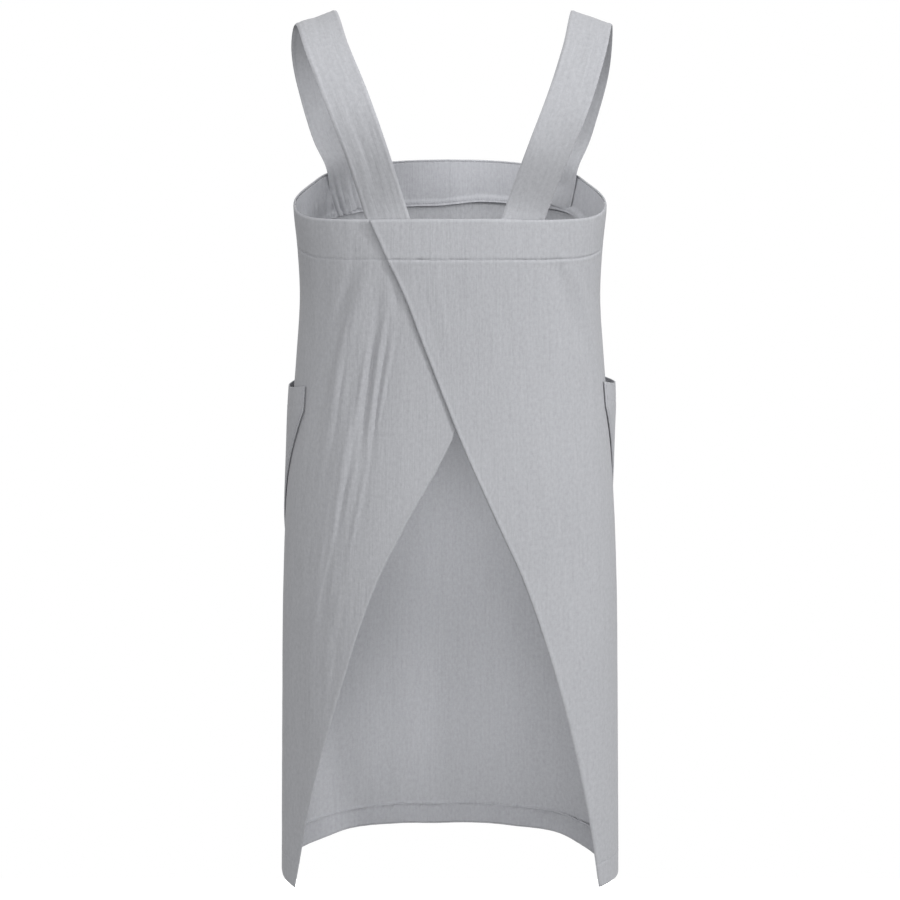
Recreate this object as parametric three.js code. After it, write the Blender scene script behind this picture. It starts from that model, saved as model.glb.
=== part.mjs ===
import * as THREE from "three";

// Cross back apron in the form it takes when worn. Millimetres, +Z up, +Y to the wearer's back,
// +X to the wearer's left. The origin is midway between the straps, level with their tops.
// Angles are degrees seen from above: 0 at the back centre, 90 at the left side, 180 at the front.

// Depths below the tops of the straps
const backTopDrop = 199.5;
const waistDrop = 297;
const hipDrop = 614;
const hemDrop = 922;

// Half widths of the worn form, inside the cloth
const chestHalfWidth = 161.3;
const waistHalfWidth = 155.5;
const hipHalfWidth = 176.3;
const hemHalfWidth = 181.3;

// Depths of the worn form, forwards and backwards of the side seams
const chestFront = 117;
const chestBack = 104;
const waistFront = 119;
const waistBack = 105.5;
const hipFront = 125;
const hipBack = 117;
const hemFront = 130;
const hemBack = 122;

// Edges
const bibRise = 27.5;
const hemSag = 17;
const backFacingHeight = 40.5;
const bibFacingHeight = 48;
const hemHeight = 24;

// Cloth thicknesses and the gaps between cloths
const panelCloth = 1.2;
const facingCloth = 1.0;
const hemCloth = 1.0;
const pocketCloth = 1.2;
const strapCloth = 2.0;
const layerGap = 0.5;
const seamGap = 0.3;

// Straps
const strapWidth = 44.5;
const leftFootAngle = 32.1;
const rightFootAngle = 37.4;
const bibEndAngle = 128.8;
const backLean = 19.5;
const bibLean = 15.5;
const footLength = 36;
const bibEndLength = 45;
const edgeClear = 10;

// Pockets
const pocketDrop = 382;
const pocketHeight = 205;
const pocketShoulder = 27;
const pocketSlant = 30;
const pocketFrontAngle = 137;
const leftPocketBackAngle = 71.3;
const rightPocketBackAngle = 80;
const leftPocketGape = 8.5;
const rightPocketGape = 11.8;
const pocketMouthSag = 13;

// Soft folds, and how far the free edge of the outer panel stands off
const foldDepth = 3.2;
const edgeLift = 3.6;

// Angles between which folds fade out at the side seams, in the back panels and in the front
const backFoldFade = [74, 86];
const frontFoldFade = [96, 112];

// The outer panel's step over the inner one fades out between these angles from the back centre, and
// between these shares of the way down. The stand-off of its free edge reaches liftWidth degrees.
const stepFade = [42, 68];
const stepEnd = [0.34, 0.55];
const liftWidth = 11;

// A fold swells over the first share of its length and dies away after the second
const foldSwell = [0.35, 0.75];

// Exponents of a pocket mouth's curve along the mouth and down the pocket
const mouthCurve = 0.8;
const mouthTaper = 1.1;

// Share of a sewn strap end's length at which its middle row lies
const sewnMiddle = 0.4;

// Lightness of the cloth outside, in the front and inside
const tone = { outside: 0.69, front: 0.66, inside: 0.63 };
const clothRoughness = 0.93;

// The four measured sections of the worn form
const stations = {
  chest: { drop: backTopDrop, half: chestHalfWidth, front: chestFront, back: chestBack },
  waist: { drop: waistDrop, half: waistHalfWidth, front: waistFront, back: waistBack },
  hip: { drop: hipDrop, half: hipHalfWidth, front: hipFront, back: hipBack },
  hem: { drop: hemDrop, half: hemHalfWidth, front: hemFront, back: hemBack },
};

// Sections down the worn form, each in shares of a measured one. square is the exponent of its curve.
const bodySections = [
  { of: "chest", drop: 0.73, half: 0.985, front: 0.975, back: 0.975, square: 2.45 },
  { of: "chest", drop: 1, half: 1, front: 1, back: 1, square: 2.45 },
  { of: "waist", drop: 0.83, half: 1.012, front: 1.013, back: 1.005, square: 2.4 },
  { of: "waist", drop: 1, half: 1, front: 1, back: 1, square: 2.35 },
  { of: "waist", drop: 1.2, half: 1.025, front: 0.975, back: 1, square: 2.3 },
  { of: "hip", drop: 0.7, half: 0.94, front: 0.94, back: 0.925, square: 2.25 },
  { of: "hip", drop: 0.85, half: 0.978, front: 0.975, back: 0.965, square: 2.2 },
  { of: "hip", drop: 1, half: 1, front: 1, back: 1, square: 2.15 },
  { of: "hem", drop: 0.8, half: 0.985, front: 0.985, back: 0.985, square: 2.1 },
  { of: "hem", drop: 1, half: 1, front: 1, back: 1, square: 2.1 },
  { of: "hem", drop: 1.05, half: 1.003, front: 1, back: 1, square: 2.1 },
].map((row) => {
  const station = stations[row.of];
  return {
    drop: row.drop * station.drop,
    half: row.half * station.half,
    front: row.front * station.front,
    back: row.back * station.back,
    square: row.square,
  };
});

// Height of the top edge round the body, as shares of bibRise above the back's top edge
const topEdgeRows = [
  { angle: 0, rise: 0 },
  { angle: 30, rise: -0.02 },
  { angle: 52, rise: -0.11 },
  { angle: 67, rise: -0.17 },
  { angle: 77, rise: -0.11 },
  { angle: 93, rise: 0.08 },
  { angle: 104, rise: 0.2 },
  { angle: 113, rise: 0.4 },
  { angle: 120, rise: 0.64 },
  { angle: 135, rise: 0.83 },
  { angle: 152, rise: 0.95 },
  { angle: 180, rise: 1 },
];

// Depth of the hem below hemDrop round the body, as shares of hemSag
const hemRows = [
  { angle: -180, sag: 0 },
  { angle: -140, sag: 0.03 },
  { angle: -127, sag: 0.22 },
  { angle: -117, sag: 0.62 },
  { angle: -108, sag: 0.96 },
  { angle: -92, sag: 0.62 },
  { angle: -68, sag: 0.26 },
  { angle: 0, sag: 0.3 },
  { angle: 68, sag: 0.46 },
  { angle: 90, sag: 0.36 },
  { angle: 110, sag: 0.25 },
  { angle: 121, sag: 0.14 },
  { angle: 131, sag: -0.14 },
  { angle: 142, sag: -0.13 },
  { angle: 156, sag: -0.03 },
  { angle: 180, sag: 0 },
];

// Free edges of the back panels. along is the share of the way from the top edge to the hem, left and
// right are the degrees that each panel reaches past the back centre, and lift is a share of edgeLift.
const freeEdgeRows = [
  { along: 0, left: 37, right: 40, lift: 0.15 },
  { along: 0.06, left: 30, right: 31.3, lift: 0 },
  { along: 0.175, left: 15, right: 14.7, lift: 1 },
  { along: 0.3, left: 2.8, right: -3.8, lift: 0.35 },
  { along: 0.43, left: -21.8, right: -23.4, lift: 0 },
  { along: 0.52, left: -35.6, right: -35.6, lift: 0 },
  { along: 0.7, left: -52.1, right: -51.5, lift: 0 },
  { along: 0.85, left: -63, right: -61.2, lift: 0 },
  { along: 1, left: -71.3, right: -68.3, lift: 0 },
];

// Soft folds. angle is where a fold starts, lean the degrees it moves to its lower end, from and to the
// shares of the way down to the hem, width its half width in degrees and depth a share of foldDepth.
const frontFolds = [
  { angle: 152, lean: 8, from: 0.35, to: 1.15, width: 9, depth: 0.8 },
  { angle: 132, lean: -2, from: 0.5, to: 1.2, width: 7, depth: -0.7 },
  { angle: 170, lean: 2, from: 0.4, to: 1.15, width: 8, depth: -0.6 },
  { angle: 193, lean: -3, from: 0.35, to: 1.1, width: 9, depth: 0.7 },
  { angle: 210, lean: 2, from: 0.5, to: 1.2, width: 7, depth: -0.7 },
  { angle: 226, lean: 3, from: 0.55, to: 1.2, width: 7, depth: 0.8 },
];
const leftFolds = [
  { angle: 24, lean: 36, from: 0.08, to: 0.62, width: 6, depth: -0.6 },
  { angle: 40, lean: 26, from: 0.12, to: 0.8, width: 6, depth: 0.5 },
  { angle: 66, lean: 8, from: 0.3, to: 1.1, width: 7, depth: -0.7 },
];
const rightFolds = [
  { angle: -50, lean: -10, from: 0.06, to: 0.5, width: 7, depth: 0.35 },
  { angle: -62, lean: -8, from: 0.45, to: 1.1, width: 7, depth: 0.5 },
];

// Route of the free stretch of a strap, from the back over the shoulder to the front. left and right are
// shares of chestHalfWidth, depth is a share of chestBack where it is positive and of chestFront where it
// is negative, and drop is a share of backTopDrop. turn is the direction of the strap's width in degrees
// from sideways towards the back, and bank how far its outer edge tips down with the shoulder.
const strapRows = [
  { left: 0.528, right: 0.62, depth: 1.02, drop: 0.64, turn: -8, bank: 0 },
  { left: 0.639, right: 0.739, depth: 0.933, drop: 0.4, turn: -2, bank: 2 },
  { left: 0.766, right: 0.84, depth: 0.61, drop: 0.168, turn: 12, bank: 10 },
  { left: 0.853, right: 0.899, depth: 0.05, drop: 0.034, turn: 24, bank: 17 },
  { left: 0.9, right: 0.92, depth: -0.385, drop: 0.172, turn: 32, bank: 8 },
  { left: 0.898, right: 0.918, depth: -0.7, drop: 0.357, turn: 40, bank: 0 },
  { left: 0.802, right: 0.825, depth: -0.846, drop: 0.7, turn: 42, bank: 0 },
];

// How many flat faces each cloth has across and down. A facing has facingRows down.
const faces = {
  front: [40, 20],
  back: [20, 24],
  pocket: [12, 8],
  strap: [4, 34],
};
const facingRows = 2;

const radians = THREE.MathUtils.degToRad;
const degrees = THREE.MathUtils.radToDeg;
const mix = THREE.MathUtils.lerp;
const ramp = THREE.MathUtils.smoothstep;

// A smooth curve through the rows of a table, read by the column named along
function curveThrough(rows, along, columns) {
  const places = rows.map((row) => row[along]);
  const values = rows.flatMap((row) => columns.map((column) => row[column]));
  const curve = new THREE.CubicInterpolant(places, values, columns.length);
  return (place) => Array.from(curve.evaluate(place));
}

const sectionAt = curveThrough(bodySections, "drop", ["half", "front", "back", "square"]);
const topRiseAt = curveThrough(topEdgeRows, "angle", ["rise"]);
const hemSagAt = curveThrough(hemRows, "angle", ["sag"]);
const freeEdgeAt = curveThrough(freeEdgeRows, "along", ["left", "right", "lift"]);

function wrapAngle(angle) {
  return THREE.MathUtils.euclideanModulo(angle + 180, 360) - 180;
}

function topDrop(angle) {
  return backTopDrop - bibRise * topRiseAt(Math.abs(wrapAngle(angle)))[0];
}

function bottomDrop(angle) {
  return hemDrop + hemSag * hemSagAt(wrapAngle(angle))[0];
}

// A point of the worn form, moved out along its level normal
function bodyPoint(angle, drop, out) {
  const [half, front, back, square] = sectionAt(drop);
  const sine = Math.sin(radians(angle));
  const cosine = Math.cos(radians(angle));
  const depth = cosine > 0 ? back : front;
  const reach = (Math.abs(sine / half) ** square + Math.abs(cosine / depth) ** square) ** (-1 / square);
  const x = reach * sine;
  const y = reach * cosine;
  const slopeX = (Math.sign(x) * Math.abs(x / half) ** (square - 1)) / half;
  const slopeY = (Math.sign(y) * Math.abs(y / depth) ** (square - 1)) / depth;
  const normal = new THREE.Vector2(slopeX, slopeY).normalize();
  return new THREE.Vector3(x + out * normal.x, y + out * normal.y, -drop);
}

// The angle that a length along the level section covers at a place on the worn form
function angleOfLength(length, angle, drop) {
  const step = 0.5;
  const chord = bodyPoint(angle - step, drop, 0).distanceTo(bodyPoint(angle + step, drop, 0));
  return (length * 2 * step) / chord;
}

function shareDown(angle, drop) {
  const top = topDrop(angle);
  return (drop - top) / (bottomDrop(angle) - top);
}

function foldsOut(rows, angle, drop) {
  const down = shareDown(angle, drop);
  let out = 0;
  for (const row of rows) {
    const along = (down - row.from) / (row.to - row.from);
    const swell = ramp(along, 0, foldSwell[0]) * (1 - ramp(along, foldSwell[1], 1));
    const aside = (angle - row.angle - row.lean * along) / row.width;
    out += row.depth * foldDepth * swell * Math.exp(-aside * aside);
  }
  return out;
}

function frontOut(angle, drop) {
  const full = THREE.MathUtils.euclideanModulo(angle, 360);
  return foldsOut(frontFolds, full, drop) * ramp(Math.abs(wrapAngle(angle)), ...frontFoldFade);
}

function leftOut(angle, drop) {
  return Math.min(0, foldsOut(leftFolds, angle, drop)) * (1 - ramp(angle, ...backFoldFade));
}

// The outer panel steps over the inner one and its facing, and its free edge stands off
function rightOut(angle, drop) {
  const along = shareDown(angle, drop);
  const [, reach, lift] = freeEdgeAt(along);
  const step = panelCloth + facingCloth + 2 * layerGap;
  const over = step * (1 - ramp(-angle, ...stepFade)) * (1 - ramp(along, ...stepEnd));
  const nearEdge = Math.exp(-(((angle - reach) / liftWidth) ** 2));
  const folds = Math.max(0, foldsOut(rightFolds, angle, drop)) * (1 - ramp(-angle, ...backFoldFade));
  return over + edgeLift * Math.max(0, lift) * nearEdge + folds;
}

function bodyOut(angle, drop) {
  const around = wrapAngle(angle);
  if (Math.abs(around) > 90) {
    return frontOut(around, drop);
  }
  return around > 0 ? leftOut(around, drop) : rightOut(around, drop);
}

function linen(lightness) {
  const look = { roughness: clothRoughness, metalness: 0, side: THREE.DoubleSide };
  const colour = new THREE.Color().setHSL(0.62, 0.03, lightness);
  return new THREE.MeshStandardMaterial({ color: colour, ...look });
}

// A closed sheet of cloth: a flat box whose width, height and thickness are bent to follow placeAt,
// which takes shares across, down and through the cloth
function clothSheet(name, [across, down], material, placeAt) {
  const geometry = new THREE.BoxGeometry(1, 1, 1, across, down, 1);
  const vertices = geometry.attributes.position;
  for (let i = 0; i < vertices.count; i += 1) {
    const place = placeAt(vertices.getX(i) + 0.5, vertices.getY(i) + 0.5, vertices.getZ(i) + 0.5);
    vertices.setXYZ(i, place.x, place.y, place.z);
  }
  geometry.computeVertexNormals();
  const mesh = new THREE.Mesh(geometry, material);
  mesh.name = name;
  return mesh;
}

const seamAngle = 90 - degrees(seamGap / 2 / chestHalfWidth);

// The depth of a panel's row of faces: facingRows of them lie over the facing and the lowest over the hem
function panelDrop(angle, down, rows, facingHeight, hem) {
  const row = down * rows;
  const facingEnd = topDrop(angle) + facingHeight;
  if (row <= facingRows) {
    return topDrop(angle) + (facingHeight * row) / facingRows;
  }
  const hemStart = bottomDrop(angle) - hem;
  const rowsBetween = rows - facingRows - 1;
  const between = (row - facingRows) / rowsBetween;
  return between <= 1 ? mix(facingEnd, hemStart, between) : mix(hemStart, bottomDrop(angle), row - rows + 1);
}

function frontAngle(across) {
  return mix(180 - seamAngle, 180 + seamAngle, across);
}

function frontPanel() {
  const rows = faces.front[1];
  return clothSheet("front_panel", faces.front, linen(tone.front), (across, down, through) => {
    const angle = frontAngle(across);
    const drop = panelDrop(angle, down, rows, bibFacingHeight, hemHeight);
    return bodyPoint(angle, drop, frontOut(angle, drop) + panelCloth * through);
  });
}

// The place on a back panel at a share of the way from its free edge to its side seam, at the depth that
// dropAt gives for an angle. side is 1 for the left panel and -1 for the right one.
function backPlace(side, fromFree, dropAt) {
  const column = side > 0 ? 0 : 1;
  const passes = 5;
  let angle = 0;
  let drop = 0;
  for (let pass = 0; pass < passes; pass += 1) {
    drop = dropAt(angle);
    const reach = freeEdgeAt(shareDown(angle, drop))[column];
    angle = side * mix(-reach, seamAngle, fromFree);
  }
  return { angle, drop };
}

function backSheet(name, side, size, thickness, dropAt, inside) {
  const outAt = side > 0 ? leftOut : rightOut;
  return clothSheet(name, size, linen(tone.outside), (across, down, through) => {
    const fromFree = side > 0 ? across : 1 - across;
    const { angle, drop } = backPlace(side, fromFree, (at) => dropAt(at, down));
    return bodyPoint(angle, drop, outAt(angle, drop) - inside + thickness * through);
  });
}

function backPanel(name, side) {
  const rows = faces.back[1];
  const dropAt = (angle, down) => panelDrop(angle, down, rows, backFacingHeight, hemHeight);
  return backSheet(name, side, faces.back, panelCloth, dropAt, 0);
}

function backFacing(name, side) {
  const size = [faces.back[0], facingRows];
  const dropAt = (angle, down) => topDrop(angle) + backFacingHeight * down;
  return backSheet(name, side, size, facingCloth, dropAt, facingCloth + layerGap);
}

function bibFacing() {
  const size = [faces.front[0], facingRows];
  return clothSheet("front_facing", size, linen(tone.inside), (across, down, through) => {
    const angle = frontAngle(across);
    const drop = topDrop(angle) + bibFacingHeight * down;
    const inside = layerGap + facingCloth * (1 - through);
    return bodyPoint(angle, drop, frontOut(angle, drop) - inside);
  });
}

function frontHem() {
  const size = [faces.front[0], 1];
  return clothSheet("front_hem", size, linen(tone.inside), (across, down, through) => {
    const angle = frontAngle(across);
    const drop = bottomDrop(angle) - hemHeight * (1 - down);
    const inside = layerGap + hemCloth * (1 - through);
    return bodyPoint(angle, drop, frontOut(angle, drop) - inside);
  });
}

// A patch pocket: square at the mouth, its back edge slanting forwards below pocketShoulder
function pocket(name, side, backAngle, gape) {
  const rowOfShoulder = 1 / faces.pocket[1];
  const shoulder = pocketShoulder / pocketHeight;
  return clothSheet(name, faces.pocket, linen(tone.front), (across, down, through) => {
    const fromBack = side > 0 ? across : 1 - across;
    const below = Math.max(0, (down - rowOfShoulder) / (1 - rowOfShoulder));
    const share = down < rowOfShoulder ? (down / rowOfShoulder) * shoulder : mix(shoulder, 1, below);
    const backEdge = backAngle + pocketSlant * below;
    const angle = side * mix(backEdge, pocketFrontAngle, fromBack);
    const mouth = Math.max(0, Math.sin(Math.PI * fromBack)) ** mouthCurve;
    const drop = pocketDrop + pocketHeight * share + pocketMouthSag * mouth * (1 - share) ** 2;
    const open = gape * mouth * (1 - share) ** mouthTaper;
    const out = bodyOut(angle, drop) + panelCloth + layerGap + open;
    return bodyPoint(angle, drop, out + pocketCloth * through);
  });
}

const halfStrap = strapWidth / 2;
const edges = [-1, 0, 1];

// Three points across a strap where it lies inside the facing, from its inner to its outer edge
function sewnRow(side, angle, below, lean) {
  const inside = 2 * layerGap + facingCloth + strapCloth / 2;
  const top = topDrop(angle);
  const run = below * Math.tan(radians(lean));
  const centre = angle - angleOfLength(run, angle, top) * Math.sign(90 - angle);
  return edges.map((edge) => {
    const half = edge * halfStrap;
    const drop = top + below + half * Math.sin(radians(lean));
    const aside = angleOfLength(half * Math.cos(radians(lean)), centre, top) * Math.sign(90 - angle);
    return bodyPoint(side * (centre + aside), drop, -inside);
  });
}

// The middle of a strap at a row of its free stretch
function strapMiddle(side, row) {
  const out = side > 0 ? row.left : row.right;
  const depth = row.depth > 0 ? chestBack : chestFront;
  return new THREE.Vector3(side * out * chestHalfWidth, row.depth * depth, -row.drop * backTopDrop);
}

// Three points across a strap in its free stretch, square to its run
function freeRow(side, row, run) {
  const turn = radians(row.turn);
  const width = new THREE.Vector3(side * Math.cos(turn), Math.sin(turn), -Math.tan(radians(row.bank)));
  width.addScaledVector(run, -width.dot(run)).normalize();
  return edges.map((edge) => strapMiddle(side, row).addScaledVector(width, edge * halfStrap));
}

// The three rails of a strap: its inner edge, middle and outer edge from the back foot to the bib end
function strapRails(side, footAngle) {
  const foot = [footLength, sewnMiddle * footLength, -edgeClear];
  const bibEnd = [-edgeClear, sewnMiddle * bibEndLength, bibEndLength];
  const footRows = foot.map((below) => sewnRow(side, footAngle, below, backLean));
  const bibRows = bibEnd.map((below) => sewnRow(side, bibEndAngle, below, bibLean));
  const middles = [footRows[2][1], ...strapRows.map((row) => strapMiddle(side, row)), bibRows[0][1]];
  const freeRows = strapRows.map((row, i) => {
    const run = middles[i + 2].clone().sub(middles[i]).normalize();
    return freeRow(side, row, run);
  });
  const rows = [...footRows, ...freeRows, ...bibRows];
  return edges.map((edge, i) => new THREE.CatmullRomCurve3(rows.map((row) => row[i])));
}

function strap(name, side, footAngle) {
  const rails = strapRails(side, footAngle);
  const surface = (along, edge) => {
    const [inner, middle, outer] = rails.map((rail) => rail.getPoint(along));
    return inner
      .multiplyScalar((edge * edge - edge) / 2)
      .addScaledVector(middle, 1 - edge * edge)
      .addScaledVector(outer, (edge * edge + edge) / 2);
  };
  const step = 0.002;
  return clothSheet(name, faces.strap, linen(tone.outside), (across, along, through) => {
    const edge = side * (1 - 2 * across);
    const near = THREE.MathUtils.clamp(along, step, 1 - step);
    const run = surface(near + step, edge).sub(surface(near - step, edge));
    const width = surface(along, 1).sub(surface(along, -1)).multiplyScalar(side);
    const outward = run.cross(width).normalize();
    return surface(along, edge).addScaledVector(outward, strapCloth * (through - 0.5));
  });
}

const apron = new THREE.Group();
apron.add(frontPanel());
apron.add(backPanel("back_panel_left", 1));
apron.add(backPanel("back_panel_right", -1));
apron.add(bibFacing());
apron.add(backFacing("back_facing_left", 1));
apron.add(backFacing("back_facing_right", -1));
apron.add(frontHem());
apron.add(pocket("pocket_left", 1, leftPocketBackAngle, leftPocketGape));
apron.add(pocket("pocket_right", -1, rightPocketBackAngle, rightPocketGape));
apron.add(strap("strap_left", 1, leftFootAngle));
apron.add(strap("strap_right", -1, rightFootAngle));

export default apron;
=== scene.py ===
"""Looks of a cross back apron in light grey linen, laid out as an add-on and run as a script."""

import math

import bmesh
import bpy
import numpy as np
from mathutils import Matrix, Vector


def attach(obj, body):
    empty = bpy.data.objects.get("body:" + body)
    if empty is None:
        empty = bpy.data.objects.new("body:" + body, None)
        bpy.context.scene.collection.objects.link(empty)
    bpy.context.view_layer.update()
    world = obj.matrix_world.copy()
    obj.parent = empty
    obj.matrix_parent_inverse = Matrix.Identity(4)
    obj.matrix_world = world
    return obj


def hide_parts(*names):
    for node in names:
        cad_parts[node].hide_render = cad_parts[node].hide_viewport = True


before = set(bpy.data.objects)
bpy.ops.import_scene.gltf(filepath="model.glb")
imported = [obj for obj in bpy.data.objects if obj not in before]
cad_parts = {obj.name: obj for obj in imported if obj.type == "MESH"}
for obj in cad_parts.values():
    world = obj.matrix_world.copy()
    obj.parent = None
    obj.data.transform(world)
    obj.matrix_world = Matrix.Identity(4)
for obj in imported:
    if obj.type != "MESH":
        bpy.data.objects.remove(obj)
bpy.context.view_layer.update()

bl_info = {
    "name": "Cross back apron",
    "version": (1, 0, 0),
    "blender": (4, 5, 0),
    "location": "View3D > Sidebar > Apron",
    "description": "Builds the linen cloths, straps, pockets and stitching of a cross back apron",
    "category": "Object",
}

MM = 0.001

# ---- Worn form. Millimetres and degrees: 0 is the back centre, 90 the left side, 180 the front. ----

BACK_TOP_DROP = 199.5
HEM_DROP = 922
BIB_RISE = 29.3
HEM_SAG = 17
BACK_FACING_HEIGHT = 40.5
BIB_FACING_HEIGHT = 49.8
HEM_HEIGHT = 24
CHEST_HALF_WIDTH = 161.3
CHEST_FRONT = 117
CHEST_BACK = 104
LAYER_GAP = 0.5
PANEL_CLOTH = 1.2
FACING_CLOTH = 1.0
FACING_START = 2.4
SEAM_ANGLE = 89.95

# Widths and heights of the cloths as worn, near enough for spacing the lines of their grids
FRONT_WIDTH = 560
FRONT_SKIRT_HEIGHT = 678
BACK_WIDTH = 300
BACK_FACING_WIDTH = 340
BACK_SKIRT_HEIGHT = 656
# Millimetres of cloth for a degree round the body, and for a degree near the back centre
MM_PER_DEGREE = 2.85
MM_PER_BACK_DEGREE = 1.9

# depth below the strap tops, half width, depth forwards, depth backwards, exponent of the curve
BODY_SECTIONS = [
    (145.6, 158.9, 114.1, 101.4, 2.45),
    (199.5, 161.3, 117, 104, 2.45),
    (246.5, 157.4, 120.5, 106, 2.4),
    (297, 155.5, 119, 105.5, 2.35),
    (356.4, 159.4, 116, 105.5, 2.3),
    (429.8, 165.7, 117.5, 108.2, 2.25),
    (521.9, 172.4, 121.9, 112.9, 2.2),
    (614, 176.3, 125, 117, 2.15),
    (737.6, 178.6, 128.1, 120.2, 2.1),
    (922, 181.3, 130, 122, 2.1),
    (968.1, 181.8, 130, 122, 2.1),
]

# angle, share of BIB_RISE above the back's top edge
TOP_EDGE = [
    (0, 0), (30, -0.02), (52, -0.11), (67, -0.17), (77, -0.11), (93, 0.08), (104, 0.2),
    (113, 0.4), (120, 0.64), (135, 0.83), (152, 0.95), (180, 1),
]

# angle, share of HEM_SAG below HEM_DROP
BOTTOM_EDGE = [
    (-180, 0), (-140, 0.03), (-127, 0.22), (-117, 0.62), (-108, 0.96), (-92, 0.62), (-68, 0.26),
    (0, 0.3), (70, 0.62), (90, 0.38), (110, 0.25), (121, 0.14), (131, -0.14), (142, -0.13),
    (156, -0.03), (180, 0),
]

# share of the way down, reach past the back centre of the left and of the right panel, and how far the
# right panel's free edge stands off the left one
FREE_EDGES = [
    (0, 37, 40, 1.0), (0.06, 30, 31.3, 0.1), (0.11, 22.8, 23.5, 0.9), (0.175, 15, 14.7, 1.2),
    (0.3, 2.8, -3.8, 1.0), (0.43, -21.8, -23.4, 0.5), (0.52, -35.6, -35.6, 0), (0.7, -52.1, -51.5, 0),
    (0.85, -63.6, -61.2, 0), (1, -73.2, -68.3, 0),
]

# angle where the fold starts, degrees that it leans, shares of the way down between which it runs,
# half width in degrees, depth in millimetres
FRONT_FOLDS = [
    (152, 8, 0.35, 1.15, 9, 2.6), (132, -2, 0.5, 1.2, 7, -2.2), (170, 2, 0.4, 1.15, 8, -1.9),
    (193, -3, 0.35, 1.1, 9, 2.2), (210, 2, 0.5, 1.2, 7, -2.2), (226, 3, 0.55, 1.2, 7, 2.6),
]
LEFT_FOLDS = [
    (24, 36, 0.08, 0.62, 6, -1.9), (40, 26, 0.12, 0.8, 6, 1.6), (66, 8, 0.3, 1.1, 7, -2.2),
]
RIGHT_FOLDS = [(-50, -10, 0.06, 0.5, 7, 1.1), (-62, -8, 0.45, 1.1, 7, 1.6)]

# Creases by place: sideways from the centre and drop at either end, sideways bow, half width, depth
LEFT_CREASES = [
    (93, 238, 143, 460, 4, 6.5, -2.9),
    (83, 250, 130, 440, 3, 8, 2.3),
    (67, 250, 99, 490, 0, 5.5, -2.4),
    (73, 300, 95, 460, 0, 2.1, -1.7),
    (67, 300, 89, 460, 0, 2.1, 1.4),
    (61, 298, 85, 470, 0, 2.1, -1.5),
    (55, 305, 78, 430, 0, 2.2, 1.1),
    (80, 310, 101, 450, 1, 2.1, 1.1),
    (104, 330, 120, 450, 1, 2.4, -1),
    (88, 380, 118, 560, 2, 2.8, -1.5),
    (97, 390, 127, 580, 2, 3.2, 1.5),
    (80, 430, 108, 600, 3, 2.8, 1.1),
    (104, 300, 122, 400, 1, 2.6, 0.8),
    (110, 480, 134, 640, 2, 4, -1),
    (60, 246, 52, 300, 0, 5, -1.4),
    (124, 560, 140, 720, 2, 5, -0.9),
    (108, 600, 128, 730, 2, 4, -0.7),
    (135, 240, 140, 330, 0, 4, 0.6),
    (146, 230, 149, 300, 0, 3, -1),
    (150, 520, 158, 690, 0, 5, 0.7),
]
RIGHT_CREASES = [
    (-103, 240, -134, 345, -2, 8, -1.7),
    (-122, 246, -148, 350, -2, 6, 1.4),
    (-106, 236, -110, 262, 0, 2.4, -0.7),
    (-112, 236, -117, 262, 0, 2.4, 0.8),
    (-136, 250, -146, 300, 0, 4, -0.7),
    (26, 272, 8, 350, 0, 3, -0.35),
    (12, 268, 2, 330, 0, 3, 0.3),
    (-20, 262, -24, 330, 0, 3, -0.2),
    (-52, 262, -60, 340, 0, 5, -0.3),
    (-90, 420, -108, 620, -2, 7, 0.6),
    (-124, 520, -140, 760, -2, 8, -0.8),
    (-140, 640, -152, 860, -1, 6, 0.7),
    (-60, 520, -84, 640, 0, 5, -0.3),
    (-146, 420, -158, 560, 0, 5, 0.5),
]
FRONT_CREASES = [
    (-44, 715, -38, 790, 0, 3, -0.7),
    (-52, 700, -48, 780, 0, 3, 0.6),
    (72, 700, 60, 800, 0, 5, -0.9),
    (110, 830, 80, 900, 2, 5, -1.0),
    (64, 850, 54, 895, 0, 4, 0.8),
    (130, 760, 112, 880, 2, 6, 1.1),
    (-100, 780, -112, 890, 0, 6, -0.8),
    (10, 560, 14, 720, 0, 8, -0.5),
    (-70, 600, -84, 760, 0, 8, 0.6),
    (30, 820, 22, 900, 0, 4, -0.5),
    (-20, 840, -26, 900, 0, 4, -0.5),
]

# ---- Straps ----

STRAP_WIDTH = 44.5
STRAP_CLOTH = 2.0
FOOT_ANGLES = {1: 32.1, -1: 37.4}
BIB_END_ANGLES = {1: 128.8, -1: 126.6}
BACK_LEAN = 19.5
BIB_LEAN = 15.5
FOOT_LENGTH = 36
BIB_END_LENGTHS = {1: 45, -1: 37}
# How far above the top edge a strap bends over it, and where its sewn end's middle row lies
EDGE_CLEAR = 10
SEWN_MIDDLE = 0.4
# Half the width in whole millimetres, for the relief, and the steps of the even curves along a strap
STRAP_REACH = 22
STRAP_STEPS = 1200

# left and right shares of CHEST_HALF_WIDTH, share of the chest's depth, share of BACK_TOP_DROP,
# degrees that the width turns backwards, degrees that the outer edge tips down with the shoulder
STRAP_ROUTE = [
    (0.528, 0.62, 1.02, 0.64, -8, 0), (0.639, 0.739, 0.933, 0.4, -2, 2),
    (0.766, 0.84, 0.61, 0.168, 12, 10), (0.853, 0.899, 0.05, 0.034, 24, 17),
    (0.9, 0.92, -0.385, 0.172, 32, 8), (0.898, 0.918, -0.7, 0.357, 40, 0),
    (0.802, 0.825, -0.846, 0.7, 42, 0),
]

# ---- Pockets ----

POCKET_DROP = 382
POCKET_HEIGHT = 205
POCKET_SHOULDER = 27
POCKET_SLANT = 30
POCKET_FRONT_ANGLE = 137
POCKET_BACK_ANGLES = {1: 71.3, -1: 80}
POCKET_GAPES = {1: 4.4, -1: 11.8}
POCKET_MOUTH_SAG = 13
POCKET_CLOTH = 1.2
# Width as worn, near enough for the grid and the stitches, and how far those lie inside the edge
POCKET_WIDTH = 160
POCKET_STITCH_INSET = 2.5
POCKET_HEM_HEIGHT = 20


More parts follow.
